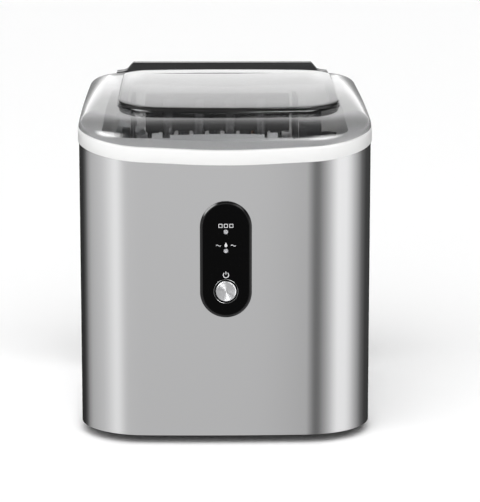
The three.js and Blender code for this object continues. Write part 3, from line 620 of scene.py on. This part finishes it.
def offset_inwards(profile, thickness):
    """The same run of (across, height) points, moved square to itself by the thickness."""
    moved = []
    for k, (u, z) in enumerate(profile):
        before, after = profile[max(k - 1, 0)], profile[min(k + 1, len(profile) - 1)]
        run, rise = after[0] - before[0], after[1] - before[1]
        length = math.hypot(run, rise)
        moved.append((u + thickness * rise / length, z - thickness * run / length))
    return moved


def lid_shell():
    """An even wall all round: the shoulder, the flat top and an opening under the window."""
    outer = lid_outline(0)
    rim_line = outline(HALF - SHOULDER_SIDE, FRONT + SHOULDER_FRONT, LID_REAR - SHOULDER_REAR, 38, 18)
    opening = plate_outline(9)
    shares = shoulder_shares(SHOULDER_STEPS)
    sections = []
    for o, r, hole in zip(outer, rim_line, opening):
        foot, top = seam(o) + BAND + GAP, lid_top(r)
        reach = math.dist(o, r)
        profile = [(reach * across, foot + (top - foot) * up) for across, up in shares]
        outside = [(*between(o, r, u / reach), z) for u, z in profile]
        inside = [(*between(o, r, u / reach), z) for u, z in offset_inwards(profile, WALL)]
        middle = between(r, hole, 0.5)
        edge = [(*middle, lid_top(middle)), (*hole, lid_top(hole)), (*hole, lid_top(hole) - WALL)]
        sections.append(outside + edge + inside[::-1])
    shell = loft("lid_cover", sections, cyclic=True, angle=6.5)
    for x in (60, -68):
        ends = [(EAR_RADIUS, x), (EAR_RADIUS, x + KNUCKLE_WIDTH)]
        knuckle = lathe("knuckle", ends, (HINGE_Y, HINGE_Z), "x")
        arm = block("arm", (x, LID_REAR - 2.4, HINGE_Z - 3.4), (x + KNUCKLE_WIDTH, HINGE_Y, HINGE_Z + 2))
        fuse(shell, knuckle, arm)
    return finish_piece(shell, "lid", SMOKE, "smoked_plastic", "lid_shell")


def lid_window():
    """The raised window: a groove, a hollow skirt, a steep wall, a rounded edge and a crowned face."""

    def level(inset, lift):
        return [(*p, lid_top(p) + lift) for p in plate_outline(inset)]

    radius, inset, top = 2.2, 1.2, 2.5
    turns = [math.radians(60 - 7.5 * i) for i in range(9)]
    skirt = [(24.5, GAP), (12, GAP), (1.2, GAP), (0.5, 0.4)]
    skirt += [(inset - radius * (1 - math.cos(t)), top - radius * math.sin(t)) for t in turns]
    wall = [(1.25, 4.0), (1.4, 4.35), (1.75, 4.55), (2.2, PLATE), (5, PLATE), (10, PLATE), (24.5, PLATE)]
    pane = loft("lid_pane", [level(inset, lift) for inset, lift in skirt + wall], angle=25)
    return finish_piece(pane, "lid", SMOKE, "smoked_plastic", "lid_window")


# ---- Controls ----
BUTTON_Z = sum(v.z for v in box_mm("power_button")) / 2
BUTTON_RADIUS = 8.3
BUTTON_FACE = box_mm("power_button")[0].y
LENS_RADIUS = box_mm("ice_full_lens")[1].x
WELL_RADIUS = BUTTON_RADIUS + 1.7
PILL_FACE = FRONT - 1.65


def lens_height(name):
    return sum(v.z for v in box_mm(name)) / 2


def pill_ring(inset, y):
    return [(x, y, z) for x, z in pill(PILL_HALF_WIDTH - inset, PILL_HALF_HEIGHT - inset)]


def control_bezel():
    """The polished surround: it laps over the steel, and a chamfer leads up to the printed face."""
    lap = [(4.5, 6), (1.9, 6), (1.9, -0.15), (0.1, -0.15), (0, -0.3), (0.06, -0.42)]
    chamfer = [(0.12, -0.5), (1.3, -1.68), (1.42, -1.78), (1.6, -1.82)]
    inside = [(2.1, -1.82), (2.2, -1.7), (2.2, -1.4), (4.5, -1.4)]
    rings = [pill_ring(inset, FRONT + y) for inset, y in lap + chamfer + inside]
    surround = loft("control_surround", rings, cyclic=True, angle=25)
    return finish_piece(surround, "casing", BEZEL, "gloss_black", "control_bezel")


def control_face():
    """The printed film inside the surround, with a well for the button and a hole for each lamp."""
    levels = [(4.6, FRONT + 5), (2.3, FRONT - 1.35), (2.3, PILL_FACE), (12, PILL_FACE)]
    face = loft("control_face", [pill_ring(inset, y) for inset, y in levels], angle=20)
    well = [
        (WELL_RADIUS, FRONT - 5),
        (WELL_RADIUS, FRONT - 1.6),
        (BUTTON_RADIUS + 1.3, FRONT - 1.1),
        (BUTTON_RADIUS + 1.2, FRONT - 0.2),
        (BUTTON_RADIUS + GAP, FRONT),
        (BUTTON_RADIUS + GAP, FRONT + 9),
    ]
    holes = [lathe("cutter", well, (0, BUTTON_Z), "y", 64)]
    for name in ("ice_full_lens", "add_water_lens"):
        radius = LENS_RADIUS + GAP
        holes.append(lathe("cutter", [(radius, FRONT - 5), (radius, FRONT + 9)], (0, lens_height(name)), "y"))
    cut(face, *holes)
    return finish_piece(face, "casing", GLOSS, "gloss_black", "control_bezel")


def button_trim():
    """A thin, dull metal ring round the edge of the button's well."""
    outer = WELL_RADIUS - 0.05
    profile = [
        (outer, FRONT - 0.4),
        (outer, FRONT - 1.75),
        (outer - 0.12, FRONT - 1.85),
        (outer - 0.26, FRONT - 1.75),
        (outer - 0.3, FRONT - 0.4),
    ]
    rings = []
    for i in range(64):
        turn = 2 * math.pi * i / 64
        rings.append([(r * math.cos(turn), y, BUTTON_Z + r * math.sin(turn)) for r, y in profile])
    return finish_piece(loft("button_trim", rings, cyclic=True), "casing", DARK_CHROME, "zinc_steel")


def power_button():
    """A dished cap with a rounded rim, on a wider flange that holds it in."""
    face, back = BUTTON_FACE, box_mm("power_button")[1].y
    profile = [
        (10.5, back),
        (10.5, back - 1.4),
        (BUTTON_RADIUS, back - 1.4),
        (BUTTON_RADIUS, face + 0.9),
        (BUTTON_RADIUS - 0.2, face + 0.3),
        (BUTTON_RADIUS - 0.6, face),
        (BUTTON_RADIUS - 1.0, face + 0.1),
        (BUTTON_RADIUS - 2.0, face + 0.16),
        (4.5, face + 0.34),
        (0.3, face + 0.4),
    ]
    cap = lathe("power_button_cap", profile, (0, BUTTON_Z), "y", 64)
    return finish_piece(cap, "button", SPUN, "spun_aluminium", "power_button")


def indicator(name):
    """A lamp's lens: a bright rim round a hollow middle."""
    low, high = box_mm(name)
    profile = [
        (LENS_RADIUS, high.y),
        (LENS_RADIUS, low.y + 1.2),
        (LENS_RADIUS * 0.8, low.y + 1.1),
        (LENS_RADIUS * 0.78, low.y + 0.12),
        (LENS_RADIUS * 0.66, low.y),
        (LENS_RADIUS * 0.5, low.y + 0.35),
        (LENS_RADIUS * 0.4, low.y + 0.9),
        (0.1, low.y + 1.3),
    ]
    dome = lathe(name + "_dome", profile, (0, lens_height(name)), "y", 32)
    return finish_piece(dome, "casing", LENS, "lens", name)


# ---- Ice making ----
JACKET_BOTTOM = 249.5
JACKET_FRONT = FRONT + 148
FINGER_PITCH = 27
FINGER_HEAD = 265.5
FINGER_ROWS = {"rear": (FRONT + 176, 5), "front": (FRONT + 150, 4)}


def finger(name, x, y):
    """A plated finger that ends in the jacket, with a collar where it goes in."""
    tip = box_mm("evaporator")[0].z
    profile = [(0.3, tip), (1.8, tip + 0.3), (3.4, tip + 1.4), (4.4, tip + 3.2), (4.7, tip + 6)]
    profile += [(5.2, JACKET_BOTTOM - 1), (6, JACKET_BOTTOM - 0.8), (6, JACKET_BOTTOM + 0.6)]
    profile += [(5.3, JACKET_BOTTOM + 0.8), (5.4, FINGER_HEAD)]
    return finish_piece(lathe(name, profile, (x, y), "z", 40), "casing", PLATED, "nickel_plate", "evaporator")


def evaporator():
    """Nine fingers in two rows, and the foam jacket that hides their pipe."""
    low, high = box_mm("evaporator")
    tray_low, tray_high = box_mm("water_tray")
    centre = (tray_low.x + tray_high.x) / 2
    for row, (y, count) in FINGER_ROWS.items():
        for i in range(count):
            finger(f"finger_{row}_{i + 1}", centre + (i - (count - 1) / 2) * FINGER_PITCH, y)
    y0, y1, top = JACKET_FRONT, high.y, high.z
    shape = [(y0, JACKET_BOTTOM), (y1, JACKET_BOTTOM), (y1, top), (y0 + 5, top), (y0, top - 6)]
    jacket = prism("evaporator_jacket", shape, "x", low.x, high.x)
    bevel(jacket, 1.2, 3)
    return finish_piece(jacket, "casing", FOAM, "black_plastic", "evaporator")


# ---- Everything else keeps its CAD shape, with its edges rounded ----
# Each node's body, look, slot and the width of its rounded edges.
CARRIED = {
    "base_pan": ("casing", BLACK, "black_plastic", 0.4),
    # the tub's dark grey is partly painted shade for the closed interior
    "inner_tub": ("casing", INNER_GREY_AND_SHADE, "grey_plastic", 0.5),
    "side_bracket_left": ("casing", BLACK, "black_plastic", 0.5),
    "side_bracket_right": ("casing", BLACK, "black_plastic", 0.5),
    "water_tray": ("tray", INNER_WHITE, "white_plastic", 0.4),
    "ice_shovel": ("shovel", INNER_WHITE, "white_plastic", 0.3),
    "ice_basket": ("basket", INNER_WHITE, "white_plastic", 0.5),
    "control_board": ("casing", BOARD, "circuit_board", 0.1),
    "tact_switch": ("casing", BLACK, "black_plastic", 0.1),
    "pump_housing": ("casing", BLACK, "black_plastic", 0.4),
    "pump_impeller": ("impeller", INNER_WHITE, "white_plastic", 0.2),
    "inlet_hose": ("casing", SILICONE, "silicone", 0),
    "supply_hose": ("casing", SILICONE, "silicone", 0),
    "drain_plug": ("plug", SILICONE, "silicone", 0.5),
    "compressor": ("casing", ENAMEL, "black_paint", 0.6),
    "terminal_cover": ("casing", BLACK, "black_plastic", 0.8),
    "condenser": ("casing", ALUMINIUM, "aluminium", 0),
    "fan_shroud": ("casing", BLACK, "black_plastic", 0.4),
    "fan_blade": ("fan", BLACK, "black_plastic", 0.3),
    "fan_motor": ("casing", ALUMINIUM, "aluminium", 0.4),
    "fan_bracket": ("casing", ZINC, "zinc_steel", 0.3),
    "filter_drier": ("casing", COPPER, "copper", 0),
    "hot_gas_valve": ("casing", COPPER, "copper", 0.3),
    "discharge_tube": ("casing", COPPER, "copper", 0),
    "liquid_tube": ("casing", COPPER, "copper", 0),
    "capillary_tube": ("casing", COPPER, "copper", 0),
    "suction_tube": ("casing", COPPER, "copper", 0),
    "power_board": ("casing", BOARD, "circuit_board", 0.1),
    "cord_gland": ("casing", BLACK, "black_plastic", 0.3),
    "level_probe": ("casing", ZINC, "zinc_steel", 0.1),
    "ice_sensor_left": ("casing", BLACK, "black_plastic", 0.4),
    "ice_sensor_right": ("casing", BLACK, "black_plastic", 0.4),
    "tray_motor": ("casing", BLACK, "black_plastic", 0.6),
    "tray_drive_shaft": ("tray", ZINC, "zinc_steel", 0.2),
    "tray_pivot_pin": ("casing", ZINC, "zinc_steel", 0.2),
    "shovel_rod": ("shovel", ZINC, "zinc_steel", 0.2),
    "hinge_pin_left": ("casing", ZINC, "zinc_steel", 0.1),
    "hinge_pin_right": ("casing", ZINC, "zinc_steel", 0.1),
}
for foot in ("front_foot_left", "front_foot_right", "rear_foot_left", "rear_foot_right"):
    CARRIED[foot] = ("casing", RUBBER, "rubber", 0.6)
for grommet in ("grommet_left", "grommet_right", "grommet_rear"):
    CARRIED[grommet] = ("casing", RUBBER, "rubber", 0.3)
for corner in ("lower_left", "lower_right", "upper_left", "upper_right"):
    CARRIED["rear_screw_" + corner] = ("casing", ZINC, "zinc_steel", 0.2)


# ---- Printed symbols: what each lamp and the button is for, in plain pictures ----
PRINT = 0.1  # how far the print stands out of the face
ICE_SYMBOL_Z, WATER_SYMBOL_Z, POWER_SYMBOL_Z = 182.3, 166.8, 141.8


def gather(name, parts):
    """One piece made of separate closed shapes."""
    whole = bmesh.new()
    for part in parts:
        whole.from_mesh(part.data)
        bpy.data.objects.remove(part)
    mesh = bpy.data.meshes.new(name)
    whole.to_mesh(mesh)
    whole.free()
    piece = bpy.data.objects.new(name, mesh)
    bpy.context.scene.collection.objects.link(piece)
    return piece


def ink(outline_points):
    return prism("ink", outline_points, "y", PILL_FACE - PRINT, PILL_FACE + PRINT)


def band(centre_z, outer, inner, start, end, steps=24):
    """A stretch of a ring, in degrees from +X."""
    turns = [math.radians(start + (end - start) * i / steps) for i in range(steps + 1)]
    rim_points = [(outer * math.cos(t), centre_z + outer * math.sin(t)) for t in turns]
    return rim_points + [(inner * math.cos(t), centre_z + inner * math.sin(t)) for t in reversed(turns)]


def symbol(name, parts):
    return finish_piece(gather(name, parts), "casing", PRINTED, "white_plastic")


def ice_symbol(z):
    """Three cubes in a row, each an open square."""
    pitch, outer, inner = 4.4, 1.6, 1.1
    cubes = []
    for x in (-pitch, 0, pitch):
        cube = ink(rounded_rect(x - outer, x + outer, z - outer, z + outer, 0.4, 4))
        middle = rounded_rect(x - inner, x + inner, z - inner, z + inner, 0.2, 3)
        cubes.append(cut(cube, prism("cutter", middle, "y", FRONT - 4, FRONT)))
    symbol("ice_symbol", cubes)


def water_symbol(z):
    """A drop between two short waves."""
    turns = [2 * math.pi * i / 40 for i in range(40)]
    drop = [(1.6 * math.sin(t) * math.sin(t / 2) ** 1.4, z + 2.0 * math.cos(t)) for t in turns]
    parts = [ink(drop)]
    half_width = 0.28
    for start in (-8, 4):
        steps = [start + i / 4 for i in range(17)]
        crest = [(x, z - 0.7 + 0.5 * math.sin((x - start) * math.pi / 2)) for x in steps]
        above = [(x, h + half_width) for x, h in crest]
        below = [(x, h - half_width) for x, h in reversed(crest)]
        parts.append(ink(above + below))
    symbol("water_symbol", parts)


def power_symbol(z):
    """A broken ring with a bar in its gap."""
    bar = ink(rounded_rect(-0.33, 0.33, z + 0.4, z + 3, 0.3, 4))
    symbol("power_symbol", [ink(band(z, 2.5, 1.85, -230, 50)), bar])


steel_wrap()
rear_panel()
rim()
hinge_cover()
lid_shell()
lid_window()
control_bezel()
control_face()
button_trim()
power_button()
indicator("ice_full_lens")
indicator("add_water_lens")
ice_symbol(ICE_SYMBOL_Z)
water_symbol(WATER_SYMBOL_Z)
power_symbol(POWER_SYMBOL_Z)
evaporator()
for name, (body, look, slot, edge) in CARRIED.items():
    refine(name, body, look, slot, edge)

# ---- Studio ----
MIDDLE = Vector((0, -0.05, 0.2))  # what the soft boxes face, in metres
BOX_DISTANCE = 2.5


def towards(azimuth, elevation):
    """A direction, by degrees round from the camera's side towards +X and degrees up."""
    a, e = math.radians(azimuth), math.radians(elevation)
    return Vector((math.sin(a) * math.cos(e), -math.cos(a) * math.cos(e), math.sin(e)))


def soft_box(name, azimuth, elevation, width, height, brightness):
    """An area lamp whose brightness fades out towards its edge, as a diffuser's does."""
    light = bpy.data.lights.new(name, "AREA")
    light.shape = "RECTANGLE"
    light.size, light.size_y = width, height
    light.energy = brightness * math.pi * width * height
    light.use_nodes = True
    tree = light.node_tree
    where = tree.nodes.new("ShaderNodeNewGeometry")
    spot = tree.nodes.new("ShaderNodeMapping")
    spot.inputs["Location"].default_value = (-0.5, -0.5, 0)
    fade = tree.nodes.new("ShaderNodeMapRange")
    fade.interpolation_type = "SMOOTHSTEP"
    fade.inputs["From Min"].default_value = 0.5
    fade.inputs["From Max"].default_value = 0.15
    length = tree.nodes.new("ShaderNodeVectorMath")
    length.operation = "LENGTH"
    link = tree.links.new
    link(where.outputs["Parametric"], spot.inputs["Vector"])
    link(spot.outputs["Vector"], length.inputs[0])
    link(length.outputs["Value"], fade.inputs["Value"])
    link(fade.outputs["Result"], tree.nodes["Emission"].inputs["Strength"])
    lamp = bpy.data.objects.new(name, light)
    aim = towards(azimuth, elevation)
    lamp.location = MIDDLE + aim * BOX_DISTANCE
    lamp.rotation_euler = (-aim).to_track_quat("-Z", "Y").to_euler()
    lamp.visible_diffuse = False
    bpy.context.scene.collection.objects.link(lamp)


def soft_sun(name, azimuth, elevation, strength):
    """Wide, even light from one side, which polished surfaces don't mirror."""
    light = bpy.data.lights.new(name, "SUN")
    light.energy = strength
    light.angle = math.radians(70)
    lamp = bpy.data.objects.new(name, light)
    lamp.rotation_euler = (-towards(azimuth, elevation)).to_track_quat("-Z", "Y").to_euler()
    lamp.visible_glossy = False
    lamp.visible_transmission = False
    bpy.context.scene.collection.objects.link(lamp)


def studio_floor():
    bpy.ops.mesh.primitive_plane_add(size=60, location=(0, 0, 0))
    floor = bpy.context.object
    floor.name = "studio_floor"
    floor.visible_glossy = False
    floor.data.materials.append(material("pale_floor", (0.965, 0.965, 0.965), 0.9))


# Brightness all round near the horizon, by degrees from the camera's side towards +X.
LOW_RING = [
    # a dark screen behind on the left
    (-180, 0.03), (-142, 0.04), (-131, 0.14), (-122, 0.45),
    # a broad, bright card on the left
    (-112, 0.68), (-85, 0.86), (-76, 0.98), (-68, 1.13), (-60, 1.28), (-54, 1.27), (-46, 1.05),
    # an even front
    (-40, 0.9), (-34, 0.84), (4, 0.8),
    # a slim dark flag on the right
    (8, 0.68), (12, 0.48), (17, 0.3), (22, 0.21), (28, 0.23), (35, 0.42), (42, 0.62), (49, 0.85),
    # a bright card on the right
    (56, 1.14), (64, 1.4), (80, 1.38), (89, 1.15), (98, 0.82),
    # a dark screen behind on the right
    (109, 0.5), (120, 0.2), (135, 0.07), (180, 0.03),
]
# Brightness of the backdrop behind the machine, by the sine of its height.
HEIGHTS = [
    (0, 0.3), (0.08, 0.42), (0.12, 0.6), (0.15, 1.2), (0.172, 1.9), (0.2, 1.68),
    (0.25, 1.05), (0.33, 0.82), (0.5, 0.4), (0.7, 0.24), (1, 0.24),
]
# The share of that brightness that is left all round, by degrees as above.
HIGH_RING = [
    (-180, 1), (-168, 0.95), (-150, 0.55), (-110, 0.4), (-60, 0.45),
    (60, 0.45), (110, 0.4), (150, 0.55), (168, 0.95), (180, 1),
]
BRIGHTEST = 2  # what a full step of the ramps stands for


class WorldNodes:
    """Short ways to add nodes to the studio's surroundings."""

    def __init__(self, tree):
        self.tree = tree
        tree.nodes.clear()

    def add(self, kind, *sources, **settings):
        """A node whose sockets, in order, take a number, a colour or another node's output."""
        built = self.tree.nodes.new(kind)
        for key, value in settings.items():
            setattr(built, key, value)
        for socket, source in zip(built.inputs, sources):
            if isinstance(source, (int, float, tuple)):
                socket.default_value = source
            elif source is not None:
                self.tree.links.new(source, socket)
        return built

    def math(self, operation, a, b):
        return self.add("ShaderNodeMath", a, b, operation=operation).outputs[0]

    def levels(self, source, stops):
        """A grey ramp that holds brightness as a share of the brightest."""
        built = self.add("ShaderNodeValToRGB", source)
        elements = built.color_ramp.elements
        while len(elements) < len(stops):
            elements.new(0.5)
        for element, (place, level) in zip(elements, stops):
            element.position = place
            element.color = (level / BRIGHTEST, level / BRIGHTEST, level / BRIGHTEST, 1)
        return built.outputs["Color"]

    def span(self, source, low, high, bottom, top):
        """Takes low to high into bottom to top, and holds the ends."""
        return self.add("ShaderNodeMapRange", source, low, high, bottom, top).outputs["Result"]


def studio_world():
    """The ring near the horizon, the backdrop over it, and plain white where the camera looks past both."""
    world = bpy.data.worlds.new("studio")
    bpy.context.scene.world = world
    world.use_nodes = True
    nodes = WorldNodes(world.node_tree)
    place = nodes.add("ShaderNodeTexCoord")
    x, y, z = nodes.add("ShaderNodeSeparateXYZ", place.outputs["Generated"]).outputs
    azimuth = nodes.math("ARCTAN2", x, nodes.math("MULTIPLY", y, -1))
    turn = nodes.math("ADD", nodes.math("DIVIDE", azimuth, 2 * math.pi), 0.5)
    around = nodes.levels(turn, [((a + 180) / 360, level) for a, level in LOW_RING])
    low = nodes.math("MULTIPLY", around, nodes.span(z, -0.27, -0.1, 0.84, 1))
    behind = nodes.levels(turn, [((a + 180) / 360, level * BRIGHTEST) for a, level in HIGH_RING])
    high = nodes.math("MULTIPLY", behind, nodes.levels(z, HEIGHTS))
    lowered = nodes.math("ADD", z, nodes.span(y, 0.2, 0.5, 0, 0.19))
    share = nodes.span(lowered, 0.08, 0.17, 0, 1)
    level = nodes.add("ShaderNodeMix", share, None, low, high).outputs[0]
    lit = nodes.add("ShaderNodeBackground", level, BRIGHTEST)
    plain = nodes.add("ShaderNodeBackground", (1, 1, 1, 1), 1)
    seen = nodes.add("ShaderNodeLightPath").outputs["Is Camera Ray"]
    chosen = nodes.add("ShaderNodeMixShader", seen, lit.outputs[0], plain.outputs[0])
    nodes.add("ShaderNodeOutputWorld", chosen.outputs[0])


CAMERA_LENS = 160.95
CAMERA_AT = (-0.0192, -1.9486, 0.483)
CAMERA_PITCH = 10.18  # degrees down
CAMERA_YAW = 0.98  # degrees to the right


def camera():
    data = bpy.data.cameras.new("camera")
    data.lens = CAMERA_LENS
    data.clip_start, data.clip_end = 0.05, 100
    seat = bpy.data.objects.new("camera", data)
    seat.location = CAMERA_AT
    pitch, yaw = math.radians(CAMERA_PITCH), math.radians(CAMERA_YAW)
    forward = Vector((math.sin(yaw) * math.cos(pitch), math.cos(yaw) * math.cos(pitch), -math.sin(pitch)))
    seat.rotation_euler = forward.to_track_quat("-Z", "Y").to_euler()
    bpy.context.scene.collection.objects.link(seat)
    bpy.context.scene.camera = seat


studio_floor()
studio_world()
soft_box("right_box", 39, 42, 3.2, 2.4, 9)
soft_box("left_box", -79, 42, 2.2, 2.8, 11)
soft_box("front_box", 0, 50, 4.8, 3.8, 0.35)
soft_sun("front_light", -10, 50, 2.6)
soft_sun("rear_light", 170, 60, 0.72)
camera()
bpy.context.scene.view_settings.view_transform = "Standard"
